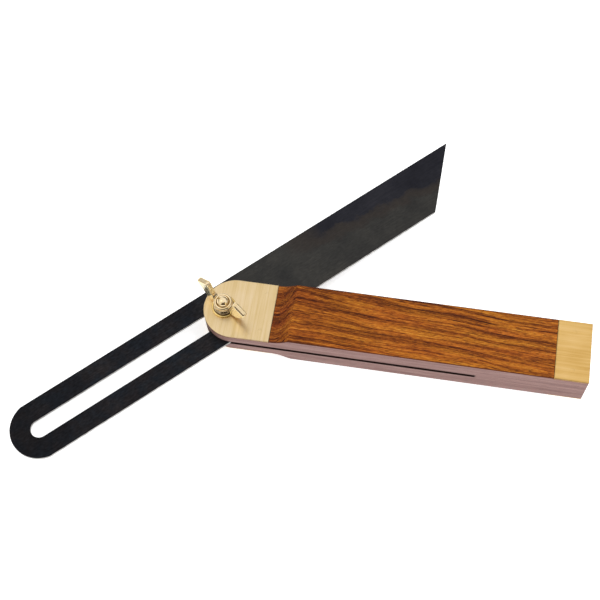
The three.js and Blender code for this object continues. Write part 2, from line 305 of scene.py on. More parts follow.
class Nodes:
    """A short way to write a node tree. A source is a number, a colour or another node's output."""

    def __init__(self, tree):
        tree.nodes.clear()
        self.tree = tree
        self.coordinates = self.add("ShaderNodeTexCoord").outputs

    def add(self, kind, **sources):
        """A new node, with its inputs fed by name."""
        node = self.tree.nodes.new(kind)
        for name, source in sources.items():
            self.feed(node.inputs[name.replace("_", " ")], source)
        return node

    def feed(self, socket, source):
        if hasattr(source, "is_output"):
            self.tree.links.new(source, socket)
        elif socket.type == "RGBA":
            socket.default_value = (*source, 1.0)
        else:
            socket.default_value = source

    def math(self, operation, *sources):
        node = self.add("ShaderNodeMath")
        node.operation = operation
        for socket, source in zip(node.inputs, sources):
            self.feed(socket, source)
        return node.outputs[0]

    def product(self, value, *others):
        for other in others:
            value = self.math("MULTIPLY", value, other)
        return value

    def weighted(self, *terms):
        """The sum of (value, weight) terms."""
        total = 0.0
        for value, weight in terms:
            total = self.math("MULTIPLY_ADD", value, weight, total)
        return total

    def distance(self, a, b):
        """How far apart two numbers are."""
        return self.math("ABSOLUTE", self.math("SUBTRACT", a, b))

    def spread(self, value, low, high, new_low=0.0, new_high=1.0):
        """Maps low..high to new_low..new_high, clamped."""
        node = self.add(
            "ShaderNodeMapRange", Value=value, From_Min=low, From_Max=high, To_Min=new_low, To_Max=new_high)
        return node.outputs["Result"]

    def vector_math(self, operation, *sources):
        node = self.add("ShaderNodeVectorMath")
        node.operation = operation
        for socket, source in zip(node.inputs, sources):
            self.feed(socket, source)
        return node.outputs["Value" if operation in ("DOT_PRODUCT", "LENGTH") else "Vector"]

    def parts(self, vector):
        return self.add("ShaderNodeSeparateXYZ", Vector=vector).outputs

    def join(self, x, y, z=0.0):
        return self.add("ShaderNodeCombineXYZ", X=x, Y=y, Z=z).outputs[0]

    def scaled(self, coordinates, *factors):
        """A vector of coordinates, each at its own scale."""
        return self.join(*(self.math("MULTIPLY", c, factor) for c, factor in zip(coordinates, factors)))

    def noise(self, point, detail=2.0, roughness=0.5):
        node = self.add("ShaderNodeTexNoise", Vector=point, Scale=1.0, Detail=detail, Roughness=roughness)
        return node.outputs["Fac"]

    def ramp(self, value, stops):
        """A colour read off (place, colour) stops."""
        node = self.add("ShaderNodeValToRGB", Fac=value)
        elements = node.color_ramp.elements
        while len(elements) < len(stops):
            elements.new(1.0)
        for element, (place, colour) in zip(elements, stops):
            element.position = place
            element.color = (*colour, 1.0)
        return node.outputs["Color"]

    def graph(self, value, stops):
        """A number read off (place, number) stops."""
        return self.parts(self.ramp(value, [(place, (number,) * 3) for place, number in stops]))[0]

    def mix(self, factor, a, b, blend="MIX"):
        node = self.add("ShaderNodeMix")
        node.data_type = "RGBA"
        node.blend_type = blend
        self.feed(node.inputs["Factor"], factor)
        for place, source in zip(MIX_COLOURS, (a, b)):
            self.feed(node.inputs[place], source)
        return node.outputs[MIX_COLOUR_RESULT]

    def tint(self, colour, factors):
        return self.mix(1.0, colour, factors, "MULTIPLY")

    def mix_number(self, factor, a, b):
        node = self.add("ShaderNodeMix")
        self.feed(node.inputs["Factor"], factor)
        for place, source in zip(MIX_NUMBERS, (a, b)):
            self.feed(node.inputs[place], source)
        return node.outputs[MIX_NUMBER_RESULT]

    def mix_shaders(self, factor, a, b):
        node = self.add("ShaderNodeMixShader", Fac=factor)
        for place, shader in zip(MIX_SHADERS, (a, b)):
            self.feed(node.inputs[place], shader.outputs[0])
        return node


class Surface(Nodes):
    """The nodes of one material, with places in millimetres in the frame's axes."""

    def __init__(self, name):
        self.material = bpy.data.materials.new(name)
        self.material.use_nodes = True
        super().__init__(self.material.node_tree)
        self.point = self.vector_math("MULTIPLY", self.coordinates["Object"], (1 / MM, 1 / MM, 1 / MM))
        self.normal = self.coordinates["Normal"]

    def stretch(self, *factors):
        """The place, with each axis at its own scale. Noise on it then has that many cells a millimetre."""
        return self.vector_math("MULTIPLY", self.point, factors)

    def bump(self, height, depth, strength):
        """A normal bent by a height map, with its depth in millimetres."""
        node = self.add("ShaderNodeBump", Height=height, Distance=depth * MM, Strength=strength)
        return node.outputs["Normal"]

    def finish(self, **sources):
        """Feeds the surface's shader and returns the material."""
        shader = self.add("ShaderNodeBsdfPrincipled", **sources)
        self.add("ShaderNodeOutputMaterial", Surface=shader.outputs["BSDF"])
        return self.material


# ---------------------------------------------------------------- wood

LAYER_LEAN = -1.9  # how far the growth layers move sideways for each millimetre of height
LAYER_DRIFT = 0.06  # and for each millimetre along the stock
LAYER_SWAY = 2.4  # how far they wander sideways, in millimetres
LAYER_START = 13.8  # where the pattern is entered, chosen for its figure
RINGS_IN_BANDS = 2.6
RINGS_PER_MM = 0.27

FACE_STOPS = [
    (0.0, (0.045, 0.008, 0.0015)),
    (0.22, (0.135, 0.030, 0.003)),
    (0.5, (0.295, 0.083, 0.0075)),
    (0.75, (0.42, 0.137, 0.012)),
    (1.0, (0.56, 0.23, 0.03)),
]
RING_STOPS = [(0.0, 0.0), (0.6, 0.18), (0.9, 1.0), (1.0, 0.0)]
EDGE_STOPS = [
    (0.0, (0.162, 0.085, 0.076)),
    (0.5, (0.257, 0.149, 0.134)),
    (1.0, (0.345, 0.218, 0.197)),
]
END_STOPS = [(0.35, (0.07, 0.032, 0.02)), (0.65, (0.16, 0.085, 0.062))]
REDDER = (1.03, 0.93, 1.1)
YELLOWER = (0.97, 1.04, 0.95)
RAMP_TINT = (0.72, 0.64, 0.85)
FACE_PORE = (0.045, 0.010, 0.003)
EDGE_PORE = (0.13, 0.06, 0.05)
# Painted shade along the long rounded edges:
EDGE_SHADE_LINE = (0.065, 0.017, 0.008)
# Painted shade at the kerf's mouth, and near-black painted shade inside the kerf:
KERF_MOUTH_SHADE = (0.035, 0.011, 0.007)
KERF_SHADE = (0.012, 0.004, 0.0025)


def wood_face(n, place, fibre, pore):
    """The oiled faces. The growth layers lean, so the ramp cuts through them and bends the figure."""
    x, y, z = place
    sway = n.noise(n.stretch(0.013, 0.045, 0.05), roughness=0.45)
    sway = n.spread(sway, 0.25, 0.75, -LAYER_SWAY, LAYER_SWAY)
    above_face = n.math("SUBTRACT", z, stock_high.z)
    lean = n.math("MULTIPLY_ADD", above_face, LAYER_LEAN, n.math("SUBTRACT", y, LAYER_START))
    layer = n.math("ADD", n.math("MULTIPLY_ADD", x, LAYER_DRIFT, lean), sway)
    inside = (x, layer, n.math("MULTIPLY_ADD", y, 0.35, z))

    bands = n.noise(n.scaled(inside, 0.011, 0.42, 0.1), detail=4.0, roughness=0.62)
    lines = n.noise(n.scaled(inside, 0.035, 2.8, 0.9), detail=5.0, roughness=0.74)
    tone = n.spread(n.weighted((bands, 0.75), (lines, 0.95), (fibre, 0.42)), 0.78, 1.3)

    rings = n.graph(n.math("FRACT", n.weighted((bands, RINGS_IN_BANDS), (layer, RINGS_PER_MM))), RING_STOPS)
    ring_strength = n.spread(n.noise(n.scaled(inside, 0.02, 0.3, 0.1), detail=1.0), 0.35, 0.65, 0.15, 1.0)
    tone = n.math("SUBTRACT", tone, n.product(rings, ring_strength, 0.5))

    # Short dark flecks and pale flecks break the bands up, and finer strokes roughen them.
    flecks = n.noise(n.scaled(inside, 0.05, 1.5, 0.7), detail=3.0, roughness=0.6)
    tone = n.math("SUBTRACT", tone, n.spread(flecks, 0.54, 0.66, 0.0, 0.3))
    tone = n.math("ADD", tone, n.spread(flecks, 0.34, 0.46, 0.1, 0.0))
    strokes = n.noise(n.scaled(place, 0.4, 2.6, 2.6), detail=4.0, roughness=0.75)
    tone = n.math("ADD", tone, n.spread(strokes, 0.3, 0.7, -0.27, 0.27))

    face = n.ramp(tone, FACE_STOPS)
    hue = n.spread(n.noise(n.scaled(inside, 0.03, 0.22, 0.1)), 0.35, 0.65)
    face = n.mix(hue, n.tint(face, REDDER), n.tint(face, YELLOWER))
    face = n.mix(n.product(pore, 0.7), face, FACE_PORE)
    # The ramp and the strip below it are tinted darker and redder.
    below_brow = n.spread(x, RAMP_END - 3.5, RAMP_END - 0.5, 1.0, 0.0)
    return n.mix(below_brow, face, n.tint(face, RAMP_TINT))


def wood_edge(n, place, pore, endways):
    """The planed edges, paler and duller, with a straight fine grain, and darker and mottled where they face
    along the stock.
    """
    straight = n.noise(n.scaled(place, 0.05, 3.0, 3.2), detail=4.0, roughness=0.7)
    broad = n.noise(n.scaled(place, 0.02, 0.3, 0.45))
    mottle = n.noise(n.stretch(1.2, 2.5, 2.5))
    tone = n.spread(n.weighted((broad, 0.4), (straight, 0.8), (mottle, 0.16)), 0.51, 0.85)
    edge = n.mix(n.product(pore, 0.35), n.ramp(tone, EDGE_STOPS), EDGE_PORE)
    speckle = n.noise(n.stretch(3.0, 3.0, 3.0), detail=3.0, roughness=0.7)
    return n.mix(n.product(endways, 0.85), edge, n.ramp(speckle, END_STOPS))


def wood_kerf(n, place, colour):
    """Painted shade along the kerf's mouth and near-black painted shade inside the kerf, as far as the saw
    reached.
    """
    x, y, z = place
    past_saw = n.math("MAXIMUM", n.math("SUBTRACT", x, SAW_X), 0.0)
    from_saw = n.vector_math("LENGTH", n.join(past_saw, n.math("SUBTRACT", y, SAW_Y), 0.0))
    from_middle = n.distance(z, MIDDLE)
    mouth_shade = n.product(
        n.spread(from_middle, KERF_HALF + 0.1, KERF_HALF + 0.55, 0.85, 0.0),
        n.spread(from_saw, SAW_RADIUS, SAW_RADIUS + 0.5, 1.0, 0.0),
    )
    # Near-black painted shade inside the kerf.
    inside = n.product(
        n.spread(from_middle, KERF_HALF + 0.01, KERF_HALF + 0.05, 1.0, 0.0),
        n.spread(from_saw, SAW_RADIUS + 0.05, SAW_RADIUS + 0.15, 1.0, 0.0),
    )
    return n.mix(inside, n.mix(mouth_shade, colour, KERF_MOUTH_SHADE), KERF_SHADE)


def wood_material():
    """Rosewood-like hardwood: oiled faces with dark figure along the grain, paler planed edges."""
    n = Surface("streaked_hardwood")
    place = n.parts(n.point)
    nx, ny, nz = (n.math("ABSOLUTE", part) for part in n.parts(n.normal))
    fibre = n.noise(n.scaled(place, 0.12, 5.0, 5.0), detail=3.0, roughness=0.65)
    pore = n.spread(n.noise(n.scaled(place, 0.38, 4.2, 4.2), detail=1.0), 0.585, 0.66)
    sideways = n.spread(nz, 0.28, 0.5, 1.0, 0.0)
    endways = n.spread(nx, 0.35, 0.8)
    colour = n.mix(sideways, wood_face(n, place, fibre, pore), wood_edge(n, place, pore, endways))
    # A thin dark line of painted shade runs along the long rounded edges.
    arris_shade = n.product(n.spread(ny, 0.06, 0.2), n.spread(ny, 0.82, 0.97, 1.0, 0.0), n.spread(nz, 0.22, 0.35))
    colour = n.mix(n.product(arris_shade, 0.92), colour, EDGE_SHADE_LINE)
    return n.finish(
        Base_Color=wood_kerf(n, place, colour),
        Roughness=n.mix_number(sideways, n.spread(fibre, 0.3, 0.7, 0.27, 0.36), 0.62),
        Specular_IOR_Level=n.mix_number(sideways, 0.1, 0.2),
        Normal=n.bump(n.weighted((fibre, 0.5), (pore, -0.6)), 0.06, 0.6),
    )


# ---------------------------------------------------------------- brass

BRASS_LOSS = (0.12, 0.17, 0.3)  # how much darker the dark brush lines are
BRASS_GAIN = (0.09, 0.13, 0.34)
# Painted reflection of dark surroundings on the plates' side faces:
EDGE_DARK_REFLECTION = (0.42, 0.28, 0.19)
# Painted shade in the nut's hollows:
HOLLOW_SHADE = (0.075, 0.035, 0.012)
# Painted highlight on the wings' upright flanks:
FLANK_HIGHLIGHT_DEEP = (0.94, 0.80, 0.46)
FLANK_HIGHLIGHT_PALE = (1.0, 0.90, 0.60)

# How much painted shade the nut's hub gets at each height above the plate: its foot, its sides, under the
# collar.
HUB_HEIGHT = 6.0
HUB_SHADE = [
    (0.96, 0.0), (0.99, 0.9), (1.5, 0.9), (2.1, 0.4), (3.3, 0.4), (3.6, 0.9), (3.87, 0.9), (4.05, 0.0),
]
# The dark lines round the bore and the collar are painted shadow.
BORE_LINE = 2.72  # radius of the dark line round the nut's bore
COLLAR_LINE = 3.58  # and of the fainter one round its collar


def brushed_brass(name, along, colour, contrast=1.0):
    """Satin brass with brush lines along "X" or "Y"."""
    n = Surface(name)

    def lines(along_scale, across_scale, deep_scale):
        flat = (along_scale, across_scale) if along == "X" else (across_scale, along_scale)
        return n.noise(n.stretch(*flat, deep_scale), detail=3.0, roughness=0.6)

    fine = lines(0.05, 9.0, 1.0)
    broad = lines(0.03, 0.9, 0.4)
    blotch = n.noise(n.stretch(0.09, 0.09, 0.09))
    tone = n.weighted((broad, 0.6), (fine, 0.6), (blotch, 0.35))
    dark = tuple(c * (1 - contrast * loss) for c, loss in zip(colour, BRASS_LOSS))
    bright = tuple(min(1.0, c * (1 + contrast * gain)) for c, gain in zip(colour, BRASS_GAIN))
    base = n.ramp(n.spread(tone, 0.58, 0.98), [(0.0, dark), (0.5, colour), (1.0, bright)])
    # The sheet's cut edges are rougher, and painted a dull brown that stands for the dark they reflect.
    upright = n.math("ABSOLUTE", n.parts(n.normal)[2])
    sheet_edge = n.spread(upright, 0.25, 0.6, 1.0, 0.0)
    return n.finish(
        Base_Color=n.mix(sheet_edge, base, EDGE_DARK_REFLECTION),
        Metallic=1.0,
        Roughness=n.mix_number(sheet_edge, n.spread(tone, 0.5, 1.05, 0.4, 0.3), 0.6),
        Normal=n.bump(fine, 0.012, 0.5),
    )


def hollow_shade_mask(n, from_axis, above_plate):
    """Painted shade in the nut's hollows: its hub's foot and neck, round its bore and collar, and at the
    wings' roots.
    """
    hub = n.graph(
        n.math("DIVIDE", above_plate, HUB_HEIGHT),
        [(height / HUB_HEIGHT, dark) for height, dark in HUB_SHADE],
    )
    hub = n.product(hub, n.spread(from_axis, 4.35, 4.75, 1.0, 0.0))
    bore = n.product(
        n.spread(n.distance(from_axis, BORE_LINE), 0.05, 0.14, 0.85, 0.0),
        n.spread(above_plate, 6.1, 6.4, 1.0, 0.0),
    )
    collar = n.product(
        n.spread(n.distance(from_axis, COLLAR_LINE), 0.05, 0.13, 0.6, 0.0),
        n.spread(above_plate, 5.2, 5.4),
    )
    # Painted shade where the wings meet the collar.
    root = n.product(
        n.spread(from_axis, 4.0, 4.1),
        n.spread(from_axis, 4.45, 4.8, 0.85, 0.0),
        n.spread(above_plate, 2.9, 3.4),
    )
    return n.math("MAXIMUM", n.math("MAXIMUM", hub, root), n.math("MAXIMUM", bore, collar))


def polished_brass(name, deep, pale):
    """Bright turned and cast brass with faint handling marks, and painted shade in its hollows."""
    n = Surface(name)
    x, y, z = n.parts(n.point)
    from_axis = n.vector_math(
        "LENGTH", n.join(n.math("SUBTRACT", x, PIVOT.x), n.math("SUBTRACT", y, PIVOT.y), 0.0))
    above_plate = n.math("SUBTRACT", z, head_high.z)
    # Painted shade in the hollows, which are also rougher.
    hollow_shade = hollow_shade_mask(n, from_axis, above_plate)
    cloud = n.noise(n.stretch(0.5, 0.5, 0.5), detail=3.0)
    marks = n.noise(n.stretch(2.5, 2.5, 2.5), detail=4.0, roughness=0.65)
    base = n.ramp(cloud, [(0.3, deep), (0.7, pale)])
    # The wings are as cast, and duller than the turned parts. Their upright flanks get a paler painted
    # highlight.
    cast = n.product(n.spread(from_axis, 4.2, 5.4), n.spread(above_plate, 1.0, 1.2))
    upright = n.math("ABSOLUTE", n.parts(n.normal)[2])
    flank = n.product(n.spread(upright, 0.2, 0.6, 1.0, 0.0), cast)
    base = n.mix(flank, base, n.mix(cloud, FLANK_HIGHLIGHT_DEEP, FLANK_HIGHLIGHT_PALE))
    gloss = n.mix_number(cast, n.spread(marks, 0.3, 0.7, 0.05, 0.11), 0.18)
    return n.finish(
        Base_Color=n.mix(hollow_shade, base, HOLLOW_SHADE),
        Metallic=n.mix_number(flank, 1.0, 0.84),
        Roughness=n.mix_number(hollow_shade, gloss, 0.35),
        Normal=n.bump(marks, 0.02, 0.3),
    )


# ---------------------------------------------------------------- steel

BROWN_STOPS = [
    (0.0, (0.0085, 0.0075, 0.0088)),
    (0.5, (0.0152, 0.0134, 0.0148)),
    (1.0, (0.0245, 0.0215, 0.0222)),
]
BLUE_STOPS = [
    (0.0, (0.0070, 0.0080, 0.0110)),
    (0.5, (0.0105, 0.0125, 0.0165)),
    (1.0, (0.0150, 0.0185, 0.0235)),
]
POINT_GREY_STOPS = [
    (0.0, (0.024, 0.0235, 0.0235)),
    (0.5, (0.036, 0.0350, 0.0330)),
    (1.0, (0.053, 0.0500, 0.0450)),
]
NAVY_STOPS = [
    (0.0, (0.0130, 0.0130, 0.0180)),
    (0.5, (0.0200, 0.0200, 0.0260)),
    (1.0, (0.0310, 0.0305, 0.0375)),
]
STRAW_BROWN = (0.041, 0.033, 0.0275)
GROUND_DARK = (0.30, 0.295, 0.28)
GROUND_PALE = (0.55, 0.54, 0.52)
ROUND_END = -102.0  # distances along the blade from the pivot
GREY_FROM = -12.0
GREY_FULLY = 14.0


def blade_navy(n, along, across, mottle):
    """A wedge along the blade's long edge that kept its colour, wider towards the point."""
    wedge = n.math("MULTIPLY_ADD", n.math("SUBTRACT", mottle, 0.5), 14.0, across)
    wedge = n.math("MULTIPLY_ADD", along, 0.13, wedge)
    return n.product(n.spread(wedge, 8.5, 15.5), n.spread(along, 36.0, 56.0))


def blued_steel():
    """Blued blade steel: nearly black, mottled, paler grey towards the point, with bright ground edges."""
    n = Surface("blued_steel")
    from_pivot = n.vector_math("SUBTRACT", n.point, tuple(PIVOT))
    blade_cos = math.cos(BLADE_ANGLE)
    blade_sin = math.sin(BLADE_ANGLE)
    along = n.vector_math("DOT_PRODUCT", from_pivot, (blade_cos, blade_sin, 0.0))
    across = n.vector_math("DOT_PRODUCT", from_pivot, (-blade_sin, blade_cos, 0.0))
    lines = n.noise(n.scaled((along, across), 0.03, 2.4), detail=4.0, roughness=0.6)
    cloud = n.noise(n.stretch(0.06, 0.06, 0.06), detail=4.0, roughness=0.6)
    mottle = n.noise(n.stretch(0.11, 0.11, 0.11), detail=4.0, roughness=0.65)
    wear = n.noise(n.stretch(0.35, 0.35, 0.35), detail=4.0, roughness=0.6)
    tone = n.spread(n.weighted((lines, 0.3), (cloud, 0.7)), 0.34, 0.66)

    deep = n.mix(n.spread(mottle, 0.4, 0.6), n.ramp(tone, BROWN_STOPS), n.ramp(tone, BLUE_STOPS))
    deep = n.tint(deep, n.spread(along, ROUND_END, ROUND_END + 42, 0.72, 1.0))
    wedge = blade_navy(n, along, across, mottle)
    point_half = n.mix(wedge, n.ramp(tone, POINT_GREY_STOPS), n.ramp(tone, NAVY_STOPS))
    # The wedge's border is straw brown, as heat leaves it.
    border = n.product(wedge, n.math("SUBTRACT", 1.0, wedge), 2.6)
    point_half = n.mix(border, point_half, STRAW_BROWN)
    towards_point = n.spread(along, GREY_FROM, GREY_FULLY)
    blued = n.mix(towards_point, deep, point_half)

    speckle = n.noise(n.scaled((along, across), 0.5, 1.3), detail=4.0, roughness=0.7)
    fine = n.spread(speckle, 0.3, 0.7, 0.8, 1.2)
    coarse = n.spread(speckle, 0.3, 0.7, 0.4, 1.6)
    blued = n.tint(blued, n.mix_number(towards_point, coarse, fine))

    upright = n.math("ABSOLUTE", n.parts(n.normal)[2])
    rim = n.spread(upright, 0.35, 0.75, 1.0, 0.0)
    return n.finish(
        Base_Color=n.mix(rim, blued, n.mix(n.spread(wear, 0.35, 0.65), GROUND_DARK, GROUND_PALE)),
        Metallic=0.9,
        Roughness=n.mix_number(rim, n.spread(tone, 0.0, 1.0, 0.34, 0.44), 0.42),
        Normal=n.bump(n.math("MULTIPLY_ADD", wear, 0.5, lines), 0.01, 0.5),
    )


WOOD = wood_material()
HEAD_BRASS = brushed_brass("head_plate_brass", "Y", (0.76, 0.575, 0.31))
TAIL_BRASS = brushed_brass("tail_plate_brass", "X", (0.76, 0.485, 0.165), 1.25)
BRIGHT_BRASS = polished_brass("polished_brass", (0.84, 0.64, 0.35), (0.92, 0.75, 0.49))
# The washer's brass is a deeper yellow copy of the nut's, as painted shade round the nut's foot.
SHADED_WASHER_BRASS = polished_brass("washer_brass_painted_shade", (0.80, 0.55, 0.18), (0.88, 0.65, 0.27))
STEEL = blued_steel()


# ---------------------------------------------------------------- stock

HEAD_CENTRE = head_low.x + HALF_WIDTH
EDGE_SOFTNESS = 0.45
RAMP_FOOT = 4.0  # how far each end's curve leads the ramp along the stock
RAMP_BROW = 1.6
RAMP_STEPS = 24
SEAM = 0.1
TAIL_CORNER = 0.4
BUSH_CLEARANCE = 0.15
OUTSIDE = 30.0  # how far a cutter reaches past the stock
DRILL_PAST = 1.0


def plan_outline(end, corner):
    """The stock's outline in plan, from its rounded head to a square end."""
    head = arc((HEAD_CENTRE, 0), HALF_WIDTH, QUARTER_TURN, 3 * QUARTER_TURN, ROUND_STEPS)
    square = rounded([
        (HEAD_CENTRE, -HALF_WIDTH, 0),
        (end, -HALF_WIDTH, corner),
        (end, HALF_WIDTH, corner),
        (HEAD_CENTRE, HALF_WIDTH, 0),
    ])
    return head[1:-1] + square


def edge_outline():
    """The stock seen from its edge, as (x, height above the kerf's middle)."""
    surface = stock_high.z - MIDDLE
    ramp = bezier(
        Vector((RAMP_END, surface)),
        Vector((RAMP_END - RAMP_BROW, surface)),
        Vector((RAMP_START + RAMP_FOOT, FRONT)),
        Vector((RAMP_START, FRONT)),
        RAMP_STEPS,
    )
    upper = [Vector((stock_high.x, surface)), *ramp, Vector((head_low.x - OUTSIDE, FRONT))]
    lower = [Vector((p.x, -p.y)) for p in reversed(upper)]
    return upper + lower


def kerf_cutter():
    start = head_low.x - OUTSIDE
    outline = [Vector((start, SAW_Y - SAW_RADIUS))]
    outline += arc((SAW_X, SAW_Y), SAW_RADIUS, -QUARTER_TURN, 0, ROUND_STEPS)
    outline.append(Vector((start, SAW_Y)))
    return slab("kerf_cutter", [outline], MIDDLE - KERF_HALF, MIDDLE + KERF_HALF)


def rebate_cutters():
    """Boxes that cut the four places where the plates are let in."""
    cutters = []
    for side in (1, -1):
        for start, end, surface in (
            (head_low.x - OUTSIDE, head_high.x + SEAM, FRONT),
            (tail_low.x - SEAM, tail_high.x + OUTSIDE, tail_high.z - MIDDLE),
        ):
            bottom, top = sorted((MIDDLE + side * (surface - PLATE), MIDDLE + side * (surface + OUTSIDE)))
            cutters.append(box_piece("rebate", (start, -OUTSIDE, bottom), (end, OUTSIDE, top)))
    return cutters


def build_stock():
    stock = slab("stock_body", [edge_outline()], -HALF_WIDTH, HALF_WIDTH, EDGE_SOFTNESS)
    # Drawn in x and height with its width along z: stand it up, then lift it to the kerf's middle.
    move(stock, Matrix.Translation((0, 0, MIDDLE)) @ EDGE_TO_UPRIGHT)
    plan = plan_outline(stock_high.x, TAIL_CORNER)
    cut(stock, slab("plan", [plan], stock_low.z - OUTSIDE, stock_high.z + OUTSIDE), "INTERSECT")
    cut(stock, kerf_cutter())
    for cutter in rebate_cutters():
        cut(stock, cutter)
    bore = bush_high.x - PIVOT.x + BUSH_CLEARANCE
    cut(stock, rod("bore", PIVOT, bore, stock_low.z - DRILL_PAST, stock_high.z + DRILL_PAST))
    for name in PIN_NAMES:
        cut(stock, pin_hole(name))
    place(finish_mesh(stock), "stock", WOOD, "wood", "stock")


# ---------------------------------------------------------------- plates and pins

PLATE_SOFTNESS = 0.3
HEAD_PLATE_CORNER = 0.25
TAIL_PLATE_CORNER = 0.2
SCREW_HOLE = 2.65
SCREW_HOLE_STEPS = 64
NECK_HOLE_SIDE = 5.3
NECK_HOLE_CORNER = 0.3

PIN_NAMES = [name for name in frame["nodes"] if "_pin_" in name]
PIN_HOLE = 0.82
PIN_RADIUS = 0.815
PIN_SOFTNESS = 0.015
PIN_STEPS = 32
PIN_RIM_STEPS = 2


def pin_centre(name):
    low, high = box_mm(name)
    return (low.x + high.x) / 2, (low.y + high.y) / 2


def pin_hole(name):
    """A cutter for a pin's hole. It reaches past the surface, but stops where the pin stops."""
    low, high = box_mm(name)
    bottom = low.z - DRILL_PAST if "back" in name else low.z
    top = high.z + DRILL_PAST if "front" in name else high.z
    return rod("pin_hole", pin_centre(name), PIN_HOLE, bottom, top, PIN_STEPS)


def square_on_pivot(side, corner):
    half = side / 2
    return rounded([(PIVOT.x + sx * half, sy * half, corner) for sx, sy in SQUARE])


def build_head_plate(face):
    low, high = box_mm("head_plate_" + face)
    # The front plate's hole is round. The back plate's is square, and keeps the screw from turning.
    if face == "front":
        hole = circle(PIVOT, SCREW_HOLE, SCREW_HOLE_STEPS)
    else:
        hole = square_on_pivot(NECK_HOLE_SIDE, NECK_HOLE_CORNER)
    hole.reverse()
    outline = plan_outline(head_high.x, HEAD_PLATE_CORNER)
    plate = slab("head_cover_" + face, [outline, hole], low.z, high.z, PLATE_SOFTNESS)
    for pin in PIN_NAMES:
        if pin.startswith("head_pin_" + face):
            cut(plate, pin_hole(pin))
    place(finish_mesh(plate), "stock", HEAD_BRASS, "satin_brass", "head_plate_" + face)


def build_tail_plate(face):
    low, high = box_mm("tail_plate_" + face)
    outline = rounded([
        (low.x, low.y, TAIL_PLATE_CORNER),
        (high.x, low.y, TAIL_CORNER),
        (high.x, high.y, TAIL_CORNER),
        (low.x, high.y, TAIL_PLATE_CORNER),
    ])
    plate = slab("tail_cover_" + face, [outline], low.z, high.z, PLATE_SOFTNESS)
    for pin in PIN_NAMES:
        if pin.startswith("tail_pin_" + face):
            cut(plate, pin_hole(pin))
    place(finish_mesh(plate), "stock", TAIL_BRASS, "satin_brass", "tail_plate_" + face)


def build_pin(name):
    low, high = box_mm(name)
    height = high.z - low.z
    corners = [(0, 0, 0), (PIN_RADIUS, 0), (PIN_RADIUS, height), (0, height, 0)]
    pin = turned("plate_" + name, soften(corners, PIN_SOFTNESS, PIN_RIM_STEPS), PIN_STEPS)
    move(pin, Matrix.Translation((*pin_centre(name), low.z)))
    brass = HEAD_BRASS if name.startswith("head") else TAIL_BRASS
    place(finish_mesh(pin), "stock", brass, "satin_brass", name)


# ---------------------------------------------------------------- screw, bush and washer

# Heights on the screw are above the kerf's middle.
SCREW_RADIUS = 2.5
SCREW_SEGMENTS = 72
SCREW_HEAD = 5.5
SCREW_RIM = 0.6
SCREW_RIM_SOFTNESS = 0.08
HEAD_STEPS = 16
TIP_RISE = 1.8
TIP_STEPS = 12
NECK_SIDE = 5.0
NECK_CORNER = 0.35

THREAD_PITCH = 0.8
THREAD_DEPTH = 0.42
THREAD_START = 1.0
THREAD_END = screw_high.z - MIDDLE - TIP_RISE
THREAD_RUNOUT = 0.3
THREAD_ROWS = 16  # rows of the mesh in one pitch
FLANK_SLOPE = 4.4
FLANK_LIFT = 1.35  # over 1, so the crest is a flat

BUSH_BORE = 2.6
BUSH_SOFTNESS = 0.2
WASHER_SEGMENTS = 128


def clamp(value):
    return min(1.0, max(0.0, value))


def thread_form(radius, level, angle):
    """Radius on the screw's thread: crest and root flats joined by straight flanks."""
    if not THREAD_START < level < THREAD_END:
        return radius
    phase = (level / THREAD_PITCH - angle / TWO_PI) % 1.0
    flank = clamp(FLANK_LIFT - abs(phase - 0.5) * FLANK_SLOPE)
    fade_in = clamp((level - THREAD_START) / THREAD_PITCH)
    fade_out = clamp((THREAD_END - level) / THREAD_RUNOUT)
    return radius - THREAD_DEPTH * (1 - flank) * fade_in * fade_out


def screw_head_profile():
    """The low dome behind the stock, from its pole to the screw's shank."""
    back = -FRONT
    rim = back - SCREW_RIM
    rise = rim - (screw_low.z - MIDDLE)
    crown = (SCREW_HEAD**2 + rise**2) / (2 * rise)  # radius of the dome
    dome = []
    for k in range(HEAD_STEPS + 1):
        reach = SCREW_HEAD * k / HEAD_STEPS
        dome.append((reach, rim - (math.sqrt(crown**2 - reach**2) - (crown - rise))))
    return dome + [
        (SCREW_HEAD, rim + SCREW_RIM / 3),
        (SCREW_HEAD, back - SCREW_RIM_SOFTNESS),
        (SCREW_HEAD - SCREW_RIM_SOFTNESS, back),
        (SCREW_RADIUS, back),
    ]


def screw_shank_profile():
    """The threaded shank and its domed tip, up to the pole."""
    length = THREAD_END - THREAD_START
    rows = int(length / (THREAD_PITCH / THREAD_ROWS))
    shank = [(SCREW_RADIUS, THREAD_START + length * k / rows) for k in range(rows + 1)]
    tip = []
    for k in range(1, TIP_STEPS):
        angle = QUARTER_TURN * k / TIP_STEPS
        tip.append((SCREW_RADIUS * math.cos(angle), THREAD_END + TIP_RISE * math.sin(angle)))
    return shank + tip + [(0, THREAD_END + TIP_RISE)]


def build_screw():
    profile = screw_head_profile() + screw_shank_profile()
    screw = turned("clamp_screw", profile, SCREW_SEGMENTS, thread_form)
    move(screw, AT_PIVOT)
    neck = square_on_pivot(NECK_SIDE, NECK_CORNER)
    bottom = MIDDLE - FRONT - SCREW_RIM / 2
    cut(screw, slab("neck", [neck], bottom, MIDDLE - FRONT + PLATE), "UNION")
    place(finish_mesh(screw, sharp_angle=50), "stock", BRIGHT_BRASS, "polished_brass", "pivot_screw")


def build_bush():
    half = (bush_high.z - bush_low.z) / 2
    outer = (bush_high.x - bush_low.x) / 2
    profile = [(BUSH_BORE, -half), (outer, -half), (outer, half), (BUSH_BORE, half)]
    bush = turned("pivot_bush", soften(profile, BUSH_SOFTNESS))
    move(bush, AT_PIVOT)
    place(finish_mesh(bush), "slot_bush", BRIGHT_BRASS, "polished_brass", "slot_bush")


